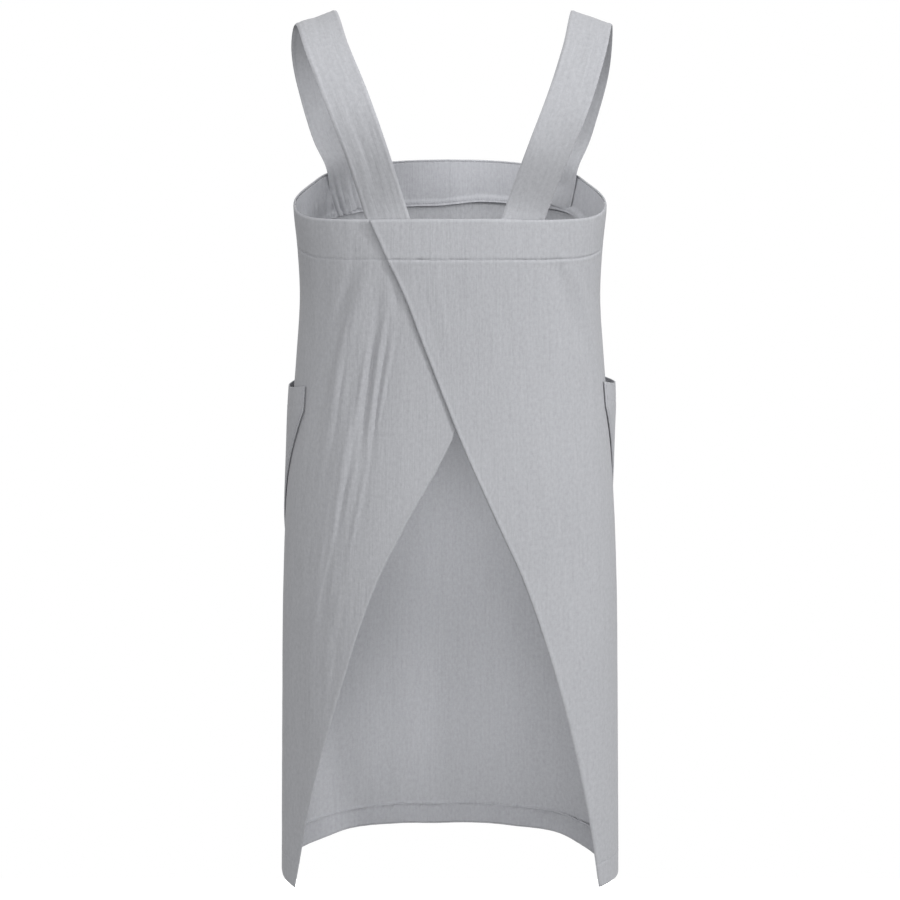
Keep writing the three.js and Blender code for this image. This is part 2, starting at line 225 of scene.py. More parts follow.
# ---- Curves and the worn form ----


def curve_through(rows, column):
    """A smooth curve through a table's first column and the one given."""
    places = np.array([row[0] for row in rows], float)
    values = np.array([row[column] for row in rows], float)
    slopes = np.diff(values) / np.diff(places)
    tangents = np.concatenate([slopes[:1], (slopes[1:] + slopes[:-1]) / 2, slopes[-1:]])

    def at(place):
        place = np.clip(place, places[0], places[-1])
        i = np.clip(np.searchsorted(places, place, side="right") - 1, 0, len(places) - 2)
        width = places[i + 1] - places[i]
        t = (place - places[i]) / width
        start = (1 + 2 * t) * (1 - t) ** 2 * values[i] + t * (1 - t) ** 2 * width * tangents[i]
        end = t * t * (3 - 2 * t) * values[i + 1] + t * t * (t - 1) * width * tangents[i + 1]
        return start + end

    return at


half_at = curve_through(BODY_SECTIONS, 1)
front_at = curve_through(BODY_SECTIONS, 2)
back_at = curve_through(BODY_SECTIONS, 3)
square_at = curve_through(BODY_SECTIONS, 4)
rise_at = curve_through(TOP_EDGE, 1)
sag_at = curve_through(BOTTOM_EDGE, 1)
reach_at = {1: curve_through(FREE_EDGES, 1), -1: curve_through(FREE_EDGES, 2)}
lift_at = curve_through(FREE_EDGES, 3)


def mix(a, b, share):
    return a + (b - a) * share


def ramp(value, start, end):
    """Rises smoothly from 0 at start to 1 at end."""
    t = np.clip((value - start) / (end - start), 0, 1)
    return t * t * (3 - 2 * t)


def bell(value, width):
    return np.exp(-((value / width) ** 2))


def wrap_angle(angle):
    return np.mod(angle + 180, 360) - 180


def top_drop(angle):
    return BACK_TOP_DROP - BIB_RISE * rise_at(np.abs(wrap_angle(angle)))


def bottom_drop(angle):
    return HEM_DROP + HEM_SAG * sag_at(wrap_angle(angle))


def share_down(angle, drop):
    top = top_drop(angle)
    return (drop - top) / (bottom_drop(angle) - top)


def body_point(angle, drop, out):
    """A point of the worn form in millimetres, moved out along its level normal."""
    half, square = half_at(drop), square_at(drop)
    sine, cosine = np.sin(np.radians(angle)), np.cos(np.radians(angle))
    depth = np.where(cosine > 0, back_at(drop), front_at(drop))
    reach = (np.abs(sine / half) ** square + np.abs(cosine / depth) ** square) ** (-1 / square)
    x, y = reach * sine, reach * cosine
    normal_x = np.sign(x) * np.abs(x / half) ** (square - 1) / half
    normal_y = np.sign(y) * np.abs(y / depth) ** (square - 1) / depth
    size = np.hypot(normal_x, normal_y)
    return np.stack([x + out * normal_x / size, y + out * normal_y / size, -drop + 0 * x], axis=-1)


# ---- Relief of the cloth ----


def crumple(u, v, width, length, seed):
    """Smooth noise from -1 to 1 in cells of width by length millimetres."""
    cells = 128
    lattice = np.random.default_rng(seed).uniform(-1, 1, (cells, cells))
    x, y = u / width + 37.3, v / length + 11.7
    i, j = np.floor(x).astype(int), np.floor(y).astype(int)
    s, t = ramp(x - i, 0, 1), ramp(y - j, 0, 1)
    i0, i1, j0, j1 = i % cells, (i + 1) % cells, j % cells, (j + 1) % cells
    low = mix(lattice[i0, j0], lattice[i1, j0], s)
    high = mix(lattice[i0, j1], lattice[i1, j1], s)
    return mix(low, high, t)


def folds(rows, angle, drop):
    """Broad folds laid by angle, which swell and fade along their length."""
    down = share_down(angle, drop)
    out = 0 * down
    for start, lean, first, last, width, depth in rows:
        along = (down - first) / (last - first)
        swell = ramp(along, 0, 0.35) * (1 - ramp(along, 0.75, 1))
        out = out + depth * swell * bell(angle - start - lean * along, width)
    return out


def creases(rows, x, drop):
    """Creases laid by their places as seen from behind or in front."""
    out = 0 * x
    for x0, drop0, x1, drop1, bow, width, depth in rows:
        along = (drop - drop0) / (drop1 - drop0)
        middle = mix(x0, x1, along) + bow * 4 * along * (1 - along)
        swell = ramp(along, -0.08, 0.3) * (1 - ramp(along, 0.6, 1.08))
        out = out + depth * swell * bell(x - middle, width)
    return out


def girth(angle):
    """Millimetres round the body for an angle, near enough for a pattern."""
    return wrap_angle(angle) * MM_PER_DEGREE


def linen_relief(angle, drop, seed):
    """The soft unevenness of washed linen: long shallow waves and small dents along the warp."""
    u = girth(angle)
    broad = 0.5 * crumple(u, drop, 46, 110, seed)
    middle = 0.13 * crumple(u, drop, 13, 38, seed + 1)
    fine = 0.05 * crumple(u + 0.1 * drop, drop, 5.5, 16, seed + 2)
    return broad + middle + fine


def seam_relief(away, along, seed, depth=0.55):
    """The dip and ridges of a stitched line. away is the distance below it, along the place on it."""
    dip = -depth * bell(away, 1.2) * (1 + 0.6 * crumple(along, 0 * along, 5, 9, seed))
    ridge = 0.3 * depth * bell(away - 3.2, 2.0) + 0.2 * depth * bell(away + 3.0, 2.0)
    pucker = 0.4 * depth * crumple(along, away, 4.2, 60, seed + 1) * bell(away, 7)
    return dip + ridge + pucker


def rolled_edge(from_edge, width=2.6, depth=1.3):
    """Cloth that is turned under along an edge bends away over its last millimetres."""
    return -depth * (1 - ramp(from_edge, -0.4, width)) ** 2


def front_out(angle, drop):
    """How far out the front lies from the worn form, before the relief that all panels share."""
    fade = ramp(np.abs(wrap_angle(angle)), 96, 112)
    full = np.mod(angle, 360)
    x = body_point(angle, drop, 0)[..., 0]
    inside_creases = creases(FRONT_CREASES, x, drop) * fade
    streaks = crumple(girth(full), drop, 4.5, 70, 351) * ramp(drop, 560, 700)
    streaks = 0.22 * streaks * (0.4 + 0.6 * bell(full - 140, 26)) * fade
    return folds(FRONT_FOLDS, full, drop) * fade + inside_creases + streaks


def left_out(angle, drop):
    """The same for the left back panel, whose broad folds go inwards, clear of the right one."""
    fade = 1 - ramp(angle, 74, 86)
    x = body_point(angle, drop, 0)[..., 0]
    soft = folds(LEFT_FOLDS, angle, drop)
    return np.minimum(0.0, soft) * fade + creases(LEFT_CREASES, x, drop) * (1 - ramp(angle, 80, 88))


def right_out(angle, drop):
    """The same for the right back panel, which steps out over the left one."""
    along = share_down(angle, drop)
    step = PANEL_CLOTH + FACING_CLOTH + 2 * LAYER_GAP
    over = step * (1 - ramp(-angle, 42, 68)) * (1 - ramp(along, 0.34, 0.55))
    near_edge = bell(angle - reach_at[-1](along), 11)
    # Below its facing the edge sinks nearly onto the left panel
    over = over - 1.2 * near_edge * ramp(drop - top_drop(angle), 44, 60) * (1 - ramp(along, 0.3, 0.42))
    x = body_point(angle, drop, 0)[..., 0]
    soft = np.maximum(0.0, folds(RIGHT_FOLDS, angle, drop)) * (1 - ramp(-angle, 74, 86))
    fine = creases(RIGHT_CREASES, x, drop) * (1 - ramp(-angle, 80, 88))
    return over + np.maximum(0.0, lift_at(along)) * near_edge + soft + fine


def body_out(angle, drop):
    around = wrap_angle(angle)
    back = np.where(around > 0, left_out(around, drop), right_out(around, drop))
    return np.where(np.abs(around) > 90, front_out(around, drop), back)


def seam_fade(angle):
    """0 at the side seams, so that the cloths on both sides of them meet."""
    return 1 - bell(np.abs(wrap_angle(angle)) - 90, 3.5)


def side_seam(angle):
    """The pinch of a side seam."""
    away = (np.abs(wrap_angle(angle)) - 90) * MM_PER_DEGREE
    return -0.7 * bell(away, 1.3) + 0.25 * bell(np.abs(away) - 4, 1.8)


def bib_facing_height(angle):
    """The strip inside the bib gets narrower past the middle."""
    full = np.mod(angle, 360)
    return BIB_FACING_HEIGHT - 5 * ramp(full, 172, 198) + 2 * ramp(full, 205, 225)


def hem_line(angle):
    """The drop of the hem's stitched line, which dips less at the corners than the cut edge does."""
    return HEM_DROP - HEM_HEIGHT + 0.45 * HEM_SAG * sag_at(wrap_angle(angle))


def panel_relief(angle, drop, seed, facing_height, hem_depth):
    """What the front and the back panels share: soft unevenness, the two seams and the turned edges."""
    u = girth(angle)
    around = wrap_angle(angle)
    facing_seam = seam_relief(drop - top_drop(angle) - facing_height, u, seed + 10, 0.8)
    facing_seam = facing_seam * mix(0.35, 1, ramp(np.abs(np.abs(around) - 90), 2, 14))
    # It is drawn in unevenly, most beside the crossing and towards the right, least on the left
    tight = 0.75 + 0.3 * crumple(u, 0 * drop, 17, 50, seed + 11)
    tight = tight * mix(1, 0.5, bell(around - 55, 26))
    tight = tight + 0.5 * bell(around - 16, 3) + 0.6 * bell(around + 48, 5)
    facing_seam = facing_seam * tight
    hem_seam = seam_relief(drop - hem_line(angle), u, seed + 20, hem_depth)
    hem_seam = hem_seam * (0.75 + 0.35 * crumple(u, 0 * drop, 14, 50, seed + 21))
    drawn = 0.35 * hem_depth * crumple(u + 0.1 * drop, drop, 6, 60, seed + 30)
    drawn = drawn * bell(drop - hem_line(angle) + 6, 16)
    edges = rolled_edge(drop - top_drop(angle)) + rolled_edge(bottom_drop(angle) - drop, 2, 0.8)
    return linen_relief(angle, drop, seed) * seam_fade(angle) + facing_seam + hem_seam + drawn + edges


def front_surface(angle, drop, out):
    """The middle of the front panel's cloth, moved out."""
    relief = panel_relief(angle, drop, 100, bib_facing_height(angle), 0.9) + side_seam(angle)
    return body_point(angle, drop, PANEL_CLOTH / 2 + front_out(angle, drop) + relief + out)


def back_surface(side, angle, drop, out):
    """The middle of a back panel's cloth, moved out."""
    outward = left_out(angle, drop) if side > 0 else right_out(angle, drop)
    from_edge = (side * angle + reach_at[side](share_down(angle, drop))) * MM_PER_BACK_DEGREE
    relief = panel_relief(angle, drop, 200 + side * 40, BACK_FACING_HEIGHT, 0.3) + side_seam(angle)
    # The free edge has a narrow raised rim and turns under steeply
    rim = (0.5 if side < 0 else 0.3) * bell(from_edge - 1.8, 1.5)
    turned = rolled_edge(from_edge, 1.0, 1.9 if side < 0 else 0.7)
    if side > 0:
        # Fine streaks run with the pull from the crossing down to the hip
        x = body_point(angle, drop, 0)[..., 0]
        streaks = crumple(x - 0.21 * drop, drop, 3.4, 60, 331)
        streaks = streaks + 0.6 * crumple(x - 0.17 * drop, drop, 7, 90, 332)
        streaks = streaks + 0.35 * crumple(x - 0.2 * drop, drop, 2.1, 34, 333)
        relief = relief + 0.42 * streaks * bell(x - 0.2 * (drop - 250) - 72, 46) * seam_fade(angle)
        # The part that the right panel covers lies flat under it, and below the facing is pressed in
        along = share_down(angle, drop)
        covered = ramp((reach_at[-1](along) - angle) * MM_PER_BACK_DEGREE, -3, 1)
        covered = covered * (1 - ramp(along, 0.32, 0.36))
        pressed = 0.2 + 1.8 * ramp(drop - top_drop(angle), 43, 54)
        relief = mix(relief, np.minimum(relief, 0) - pressed, covered)
        outward = mix(outward, np.minimum(outward, 0), covered)
    else:
        # Short streaks stand beside the crossing
        fine = crumple(girth(angle) + 0.1 * drop, drop, 2.6, 26, 341)
        relief = relief + 0.13 * fine * (0.5 + 0.5 * bell(angle - reach_at[-1](0.15), 22))
    return body_point(angle, drop, PANEL_CLOTH / 2 + outward + relief + rim + turned + out)


def inner_cloth(drop_below_top, out):
    """How far out a strip inside a panel lies. It doesn't follow the panel's turned edge."""
    return out - (PANEL_CLOTH / 2 + LAYER_GAP + FACING_CLOTH / 2) - rolled_edge(drop_below_top)


def bib_facing_surface(angle, band, out):
    """The strip inside the bib, which begins under the turned edge."""
    height = bib_facing_height(angle) - 4 * bell(angle - 236, 16)
    below = mix(FACING_START, height, band)
    drop = top_drop(angle) + below
    # The turned-under lower edge is thicker, and stands off towards the right, most by the strap
    stand_off = 1.1 * ramp(angle, 170, 200) + 2.0 * bell(angle - 238, 12)
    fold = 1.3 * ramp(height - below, 8, 4) + stand_off * ramp(height - below, 10, 0)
    # Gathers beside the left strap's end
    near_strap = bell(angle - 118, 15) * ramp(below, 12, 36)
    gathers = 2.2 * crumple(girth(angle), below, 3.4, 40, 801) * near_strap
    return front_surface(angle, drop, inner_cloth(below, out) - fold + gathers), drop


def front_hem_surface(angle, band, out):
    """The hem turned up inside the front. Sewn a little askew, it ropes into slanting puckers."""
    low = bottom_drop(angle) - 2.0
    drop = mix(hem_line(angle) - 0.8, low, band)
    slant = girth(angle) + 0.9 * (drop - low)
    rope = 0.55 * crumple(slant, 0 * drop, 3.2, 20, 500) * bell(band, 0.35)
    fold = 0.2 * (1 - ramp(band, 0.1, 0.3)) + 1.5 * (1 - ramp(band, 0, 0.6)) * ramp(angle, 214, 226)
    turned = rolled_edge(bottom_drop(angle) - drop, 2, 0.8)
    inside = -(PANEL_CLOTH / 2 + LAYER_GAP + FACING_CLOTH / 2)
    return front_surface(angle, drop, inside - fold + rope - turned + out), drop


def pocket_surface(side, from_back, share, out):
    """The middle of a pocket's cloth, moved out."""
    shoulder = POCKET_SHOULDER / POCKET_HEIGHT
    below = np.maximum(0, (share - shoulder) / (1 - shoulder))
    back_edge = POCKET_BACK_ANGLES[side] + POCKET_SLANT * below
    angle = side * mix(back_edge, POCKET_FRONT_ANGLE, from_back)
    mouth = np.maximum(0, np.sin(math.pi * from_back)) ** 0.8
    drop = POCKET_DROP + POCKET_HEIGHT * share + POCKET_MOUTH_SAG * mouth * (1 - share) ** 2
    gape = POCKET_GAPES[side] * mouth * (1 - share) ** 1.1
    relief = seam_relief(share * POCKET_HEIGHT - POCKET_HEM_HEIGHT, girth(angle), 600 + side, 0.4)
    relief = np.maximum(relief + 0.6 * linen_relief(angle, drop, 620 + side), -0.4)
    base = body_out(angle, drop) + PANEL_CLOTH + LAYER_GAP + POCKET_CLOTH / 2
    lie = 0.9 - 0.5 * bell(from_back * 150, 5) - 0.5 * bell((1 - from_back) * 150, 5)
    return body_point(angle, drop, base + gape + relief + lie + out), angle, drop


def back_place(side, from_free, drop_of):
    """Angle and drop at a share of the way from a back panel's free edge to its side seam."""
    angle = np.zeros_like(from_free)
    for _ in range(6):
        drop = drop_of(angle)
        reach = reach_at[side](share_down(angle, drop))
        angle = side * mix(-reach, SEAM_ANGLE, from_free)
    return angle, drop_of(angle)


# ---- Meshes ----

# Steps in which a line of stitches is measured, how far out their middles lie in millimetres, and the
# share of the pitch that a stitch fills
LINE_STEPS = 400
STITCH_LIFT = 0.1
STITCH_SHARE = 0.84


def grid_lines(length, coarse, fine, fine_start=True, fine_end=True):
    """Shares of a length. The lines are close near the ends that ask for it, and closest at the edge."""
    places, place = [0.0], 0.0
    while place < length:
        near = min(place if fine_start else math.inf, length - place if fine_end else math.inf)
        place += float(mix(fine, coarse, ramp(near, 3, 16)) * mix(0.45, 1, ramp(near, 2, 5)))
        places.append(place)
    return np.array(places) / places[-1]


def banded(*bands):
    """Grid lines over several bands: 0 to 1 is the first band, 1 to 2 the second, and so on."""
    lines = [band[:-1] + i for i, band in enumerate(bands)]
    return np.concatenate([*lines, [float(len(bands))]])


def band_drop(band, edges):
    """The drop at a place among bands, from the drops of the bands' edges."""
    i = np.clip(np.floor(band).astype(int), 0, len(edges) - 2)
    stack = np.stack([edge + 0 * band for edge in edges])
    low = np.take_along_axis(stack, i[None], 0)[0]
    high = np.take_along_axis(stack, i[None] + 1, 0)[0]
    return mix(low, high, band - i)


def finish_piece(piece, material):
    """Smooths a piece, gives it its material and ties it to the body."""
    for face in piece.data.polygons:
        face.use_smooth = True
    piece.data.materials.append(material)
    bpy.context.scene.collection.objects.link(piece)
    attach(piece, "root")


def cloth_grid(name, across_lines, down_lines, place_at, thickness, inside=False, thinned=None):
    """A sheet of cloth: a flat grid moved by place_at, which also gives the grain for a UV map.
    thinned gives the share of the thickness left at a place, for cloth that is pressed at its edges."""
    shape = bmesh.new()
    columns, rows = len(across_lines) - 1, len(down_lines) - 1
    bmesh.ops.create_grid(shape, x_segments=columns, y_segments=rows, size=0.5)
    mesh = bpy.data.meshes.new(name)
    shape.to_mesh(mesh)
    shape.free()
    flat = np.zeros(len(mesh.vertices) * 3)
    mesh.vertices.foreach_get("co", flat)
    flat = flat.reshape(-1, 3)
    across = across_lines[np.rint((flat[:, 0] + 0.5) * columns).astype(int)]
    down = down_lines[np.rint((flat[:, 1] + 0.5) * rows).astype(int)]
    points, grain_u, grain_v = place_at(across, down)
    mesh.vertices.foreach_set("co", (points * MM).ravel())
    grain = np.stack([grain_u + 0 * across, grain_v + 0 * across], -1) * MM
    loops = np.zeros(len(mesh.loops), int)
    mesh.loops.foreach_get("vertex_index", loops)
    mesh.uv_layers.new(name="grain").data.foreach_set("uv", grain[loops].ravel())
    mesh.update()
    piece = bpy.data.objects.new(name, mesh)
    area = sum(face.area for face in mesh.polygons)
    solid = piece.modifiers.new("cloth", "SOLIDIFY")
    solid.thickness = thickness * MM
    solid.offset = 0
    solid.use_even_offset = False
    if thinned is not None:
        group = piece.vertex_groups.new(name="full_thickness")
        for i, share in enumerate(thinned(across, down)):
            group.add([i], float(share), "REPLACE")
        solid.vertex_group = group.name
        solid.thickness_vertex_group = 0.15
    finish_piece(piece, linen(inside))
    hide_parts(name)
    return piece, area


def stitches(name, lines):
    """Rows of lockstitches: short rounded pieces of thread that lie in the dips of their seams.
    Each line gives points for shares of its length and a distance out."""
    size = bpy.context.scene.apron_sizes
    thread = material_named("sewing_thread", cotton_thread, bpy.context.scene.apron_looks.thread)
    pitch, radius = size.stitch / MM, size.thread / MM / 2
    shape = bmesh.new()
    bmesh.ops.create_uvsphere(shape, u_segments=6, v_segments=4, radius=1)
    stitch = np.array([vert.co[:] for vert in shape.verts])
    faces = [[vert.index for vert in face.verts] for face in shape.faces]
    shape.free()
    points, all_faces = [], []
    for line in lines:
        dense = np.linspace(0, 1, LINE_STEPS)
        runs = np.linalg.norm(np.diff(line(dense, 0), axis=0), axis=1)
        far = np.concatenate([[0], np.cumsum(runs)])
        count = int(far[-1] / pitch)
        t = np.interp((np.arange(count) + 0.5) * pitch, far, dense)
        centre = line(t, STITCH_LIFT)
        run = line(t + 0.0005, STITCH_LIFT) - line(t - 0.0005, STITCH_LIFT)
        run = run / np.linalg.norm(run, axis=1)[:, None]
        normal = line(t, STITCH_LIFT + 1) - centre
        side = np.cross(normal, run)
        side = side / np.linalg.norm(side, axis=1)[:, None]
        normal = np.cross(run, side)
        for i in range(count):
            along, aside, off = run[i] * STITCH_SHARE / 2 * pitch, side[i] * radius, normal[i] * radius
            base = len(points) * len(stitch)
            shifts = stitch[:, 2:] * along + stitch[:, :1] * aside + stitch[:, 1:2] * off
            points.append(centre[i] + shifts)
            all_faces.extend([base + vertex for vertex in face] for face in faces)
    mesh = bpy.data.meshes.new(name)
    mesh.from_pydata((np.concatenate(points) * MM).tolist(), [], all_faces)
    mesh.update()
    piece = bpy.data.objects.new(name, mesh)
    finish_piece(piece, thread)
    return piece


# ---- Materials ----


def linear(hex_colour):
    """An sRGB hex colour as linear RGBA."""
    parts = [int(hex_colour[i : i + 2], 16) / 255 for i in (1, 3, 5)]
    return [c / 12.92 if c <= 0.04045 else ((c + 0.055) / 1.055) ** 2.4 for c in parts] + [1.0]


def add_node(tree, kind, inputs=None, **settings):
    """Adds a node with its settings, values and links, and returns it."""
    node = tree.nodes.new(kind)
    for name, value in settings.items():
        setattr(node, name, value)
    for name, value in (inputs or {}).items():
        socket = node.inputs[name]
        if isinstance(value, bpy.types.NodeSocket):
            tree.links.new(value, socket)
        else:
            socket.default_value = value
    return node


def empty_tree(block):
    """The emptied node tree of a new material or world."""
    block.use_nodes = True
    block.node_tree.nodes.clear()
    return block.node_tree


def washed_linen(name, dark, light):
    """Plain woven washed linen: dry and matt, with uneven yarns, thicker slubs and soft clouding."""
    material = bpy.data.materials.new(name)
    tree = empty_tree(material)
    grain = add_node(tree, "ShaderNodeUVMap", uv_map="grain").outputs["UV"]

    def yarns(width, length, seed, detail=2.0):
        scale = (1 / (width * MM), 1 / (length * MM), 1)
        place = add_node(
            tree, "ShaderNodeMapping", {"Vector": grain, "Scale": scale, "Location": (seed, seed, 0)}
        )
        noise = {"Vector": place.outputs["Vector"], "Scale": 1.0, "Detail": detail, "Roughness": 0.55}
        return add_node(tree, "ShaderNodeTexNoise", noise).outputs["Fac"]

    def blend(a, b, share):
        node = add_node(tree, "ShaderNodeMix", {"Factor": share}, data_type="FLOAT")
        tree.links.new(a, node.inputs["A"])
        tree.links.new(b, node.inputs["B"])
        return node.outputs["Result"]

    # The yarns are 0.6 mm apart; they are drawn 1.1 mm wide so that they show in the render
    warp = yarns(1.1, 4, 3)
    weft = yarns(4, 1.1, 7)
    weave = blend(warp, weft, 0.5)
    # Slubs are thicker places in single yarns, mostly along the warp
    slub_warp = yarns(1.5, 26, 11)
    slub_weft = yarns(18, 1.5, 13)
    slubs = blend(slub_warp, slub_weft, 0.36)
    clouds = yarns(3.2, 5, 17, 4.0)
    streaks = yarns(3.5, 60, 19, 3.0)
    tone = blend(blend(weave, slubs, 0.3), blend(clouds, streaks, 0.3), 0.55)
    spread = add_node(
        tree, "ShaderNodeMapRange",
        {"Value": tone, "From Min": 0.3, "From Max": 0.7, "To Min": 0.0, "To Max": 1.0},
    )
    colour = add_node(
        tree, "ShaderNodeMix", {"Factor": spread.outputs["Result"]}, data_type="RGBA"
    )
    colour.inputs["A"].default_value = linear(dark)
    colour.inputs["B"].default_value = linear(light)
    yarn_bump = add_node(
        tree, "ShaderNodeBump",
        {"Height": blend(weave, slubs, 0.4), "Strength": 0.5, "Distance": 0.5 * MM},
    )
    crease_bump = add_node(
        tree, "ShaderNodeBump",
        {
            "Height": streaks, "Strength": 0.35, "Distance": 1.2 * MM,
            "Normal": yarn_bump.outputs["Normal"],
        },
    )
    shader = add_node(
        tree, "ShaderNodeBsdfPrincipled",
        {
            "Base Color": colour.outputs["Result"],
            "Roughness": 0.92,
            "Specular IOR Level": 0.25,
            "Sheen Weight": 0.12,
            "Sheen Roughness": 0.5,
            "Normal": crease_bump.outputs["Normal"],
        },
    )
    add_node(tree, "ShaderNodeOutputMaterial", {"Surface": shader.outputs["BSDF"]})
    return material


def cotton_thread(name, colour):
    """Matt cotton sewing thread in the cloth's colour, a little uneven along its length."""
    material = bpy.data.materials.new(name)
    tree = empty_tree(material)
    place = add_node(tree, "ShaderNodeTexCoord").outputs["Object"]
    twist = add_node(tree, "ShaderNodeTexNoise", {"Vector": place, "Scale": 900.0, "Detail": 1.0})
    tone = add_node(tree, "ShaderNodeMix", {"Factor": twist.outputs["Fac"]}, data_type="RGBA")
    shade = linear(colour)
    tone.inputs["A"].default_value = [0.8 * part for part in shade[:3]] + [1.0]
    tone.inputs["B"].default_value = [1.2 * part for part in shade[:3]] + [1.0]
    shader = add_node(
        tree, "ShaderNodeBsdfPrincipled",
        {"Base Color": tone.outputs["Result"], "Roughness": 0.8, "Specular IOR Level": 0.3},
    )
    add_node(tree, "ShaderNodeOutputMaterial", {"Surface": shader.outputs["BSDF"]})
    return material


def material_named(name, make, *colours):
    """The material of that name, made the first time it is asked for."""
    return bpy.data.materials.get(name) or make(name, *colours)


def linen(inside):
    """The cloth's outer face, or for the pieces inside the apron a slightly darker copy of it that
    paints in their shade.
    """
    look = bpy.context.scene.apron_looks
    # The inside copy is darker only as painted shade
    if inside:
        return material_named("washed_linen_back", washed_linen, look.dark_inside_shaded, look.light_inside_shaded)
    return material_named("washed_linen_face", washed_linen, look.dark_yarn, look.light_yarn)


# ---- Settings ----


class ApronSizes(bpy.types.PropertyGroup):
    """Sizes that change how fine and how thick the cloth is."""

    cell: bpy.props.FloatProperty(
        name="Cell", description="Distance between grid lines in plain cloth",
        default=3.2 * MM, min=1.5 * MM, unit="LENGTH",
    )
    fine_cell: bpy.props.FloatProperty(
        name="Fine cell", description="Distance between grid lines at seams and edges",
        default=1.1 * MM, min=0.5 * MM, unit="LENGTH",
    )
    stitch: bpy.props.FloatProperty(
        name="Stitch", description="Length of one stitch",
        default=3.0 * MM, min=1.0 * MM, unit="LENGTH",
    )
    thread: bpy.props.FloatProperty(
        name="Thread", description="Width of the sewing thread, drawn a little thicker than it is",
        default=0.6 * MM, min=0.2 * MM, unit="LENGTH",
    )
    floor_drop: bpy.props.FloatProperty(
        name="Floor", description="Height of the shoulders above the floor",
        default=1.42, unit="LENGTH",
    )


class ApronLooks(bpy.types.PropertyGroup):
    """Colours of the linen as sRGB hex values."""

    dark_yarn: bpy.props.StringProperty(
        name="Dark yarn", description="Darkest yarns of the cloth's face", default="#95969A"
    )
    light_yarn: bpy.props.StringProperty(
        name="Light yarn", description="Lightest yarns of the cloth's face", default="#B0B1B5"
    )
    # The two inside colours are the face colours made a little darker: painted shade for the facings and
    # the hem that lie inside the apron
    dark_inside_shaded: bpy.props.StringProperty(
        name="Dark yarn inside", description="Darkest yarns of the cloth's back", default="#929398"
    )
    light_inside_shaded: bpy.props.StringProperty(
        name="Light yarn inside", description="Lightest yarns of the cloth's back", default="#ADAEB2"
    )
    thread: bpy.props.StringProperty(
        name="Thread", description="Colour of the sewing thread", default="#A1A2A7"
    )


def lines_of(length, cell=1.0, fine_start=True, fine_end=True):
    """Grid lines over a length in millimetres. cell is a factor on the plain cell."""
    size = bpy.context.scene.apron_sizes
    return grid_lines(length, cell * size.cell / MM, size.fine_cell / MM, fine_start, fine_end)


# ---- Pieces ----


def front_angle(across):
    """The angle at a share of the way from the left side seam to the right one."""
    return mix(180 - SEAM_ANGLE, 180 + SEAM_ANGLE, across)


def panel_edges(angle, facing_height):
    """Drops of a panel's top edge, facing seam, hem seam and bottom edge."""
    top, bottom = top_drop(angle), bottom_drop(angle)
    return [top, top + facing_height, bottom - HEM_HEIGHT, bottom]


class APRON_OT_front_panel(bpy.types.Operator):
    """The bib and skirt front, one cloth from side seam to side seam"""

    bl_idname = "apron.front_panel"
    bl_label = "Front panel"

    def execute(self, context):
        def place(across, band):
            angle = front_angle(across)
            drop = band_drop(band, panel_edges(angle, bib_facing_height(angle)))
            return front_surface(angle, drop, 0), across * 180 * MM_PER_DEGREE, drop

        rows = banded(
            lines_of(BIB_FACING_HEIGHT), lines_of(FRONT_SKIRT_HEIGHT, 1.65), lines_of(HEM_HEIGHT)
        )
        piece, area = cloth_grid("front_panel", lines_of(FRONT_WIDTH, 0.85), rows, place, PANEL_CLOTH)

        def facing_line(t, out):
            angle = front_angle(t)
            drop = top_drop(angle) + bib_facing_height(angle)
            return front_surface(angle, drop, PANEL_CLOTH / 2 + out)

        def sewn_hem(t, out):
            angle = front_angle(t)
            return front_surface(angle, hem_line(angle), PANEL_CLOTH / 2 + out)

        sewn = stitches("front_panel_stitches", [facing_line, sewn_hem])
        return {"FINISHED"}


def back_cloth(name, side, across_lines, rows, drop_of, thickness, inside):
    """A back panel, or the facing inside one. drop_of gives the drop for an angle and a band."""

    def place(across, band):
        from_free = across if side > 0 else 1 - across
        angle, drop = back_place(side, from_free, lambda at: drop_of(at, band))
        out = inner_cloth(drop - top_drop(angle), 0) if inside else 0
        return back_surface(side, angle, drop, out), girth(angle), drop

    return cloth_grid(name, across_lines, rows, place, thickness, inside)


class APRON_OT_back_panels(bpy.types.Operator):
    """The two back halves, which cross below the shoulders and open towards the hem"""

    bl_idname = "apron.back_panels"
    bl_label = "Back panels"

    def execute(self, context):
        # The creases run down the cloth, so the grid is finer across than down
        rows = banded(
            lines_of(BACK_FACING_HEIGHT), lines_of(BACK_SKIRT_HEIGHT, 1.6), lines_of(HEM_HEIGHT)
        )

        def drop_of(angle, band):
            return band_drop(band, panel_edges(angle, BACK_FACING_HEIGHT))

        for side, name in ((1, "back_panel_left"), (-1, "back_panel_right")):
            piece, area = back_cloth(
                name, side, lines_of(BACK_WIDTH, 0.5), rows, drop_of, PANEL_CLOTH, False
            )

            def across_at(drop_at, side=side):
                def at(t, out):
                    angle, drop = back_place(side, mix(0.01, 1, t), drop_at)
                    return back_surface(side, angle, drop, PANEL_CLOTH / 2 + out)

                return at

            sewn = stitches(
                name + "_stitches",
                [across_at(lambda at: top_drop(at) + BACK_FACING_HEIGHT), across_at(hem_line)],
            )
        return {"FINISHED"}


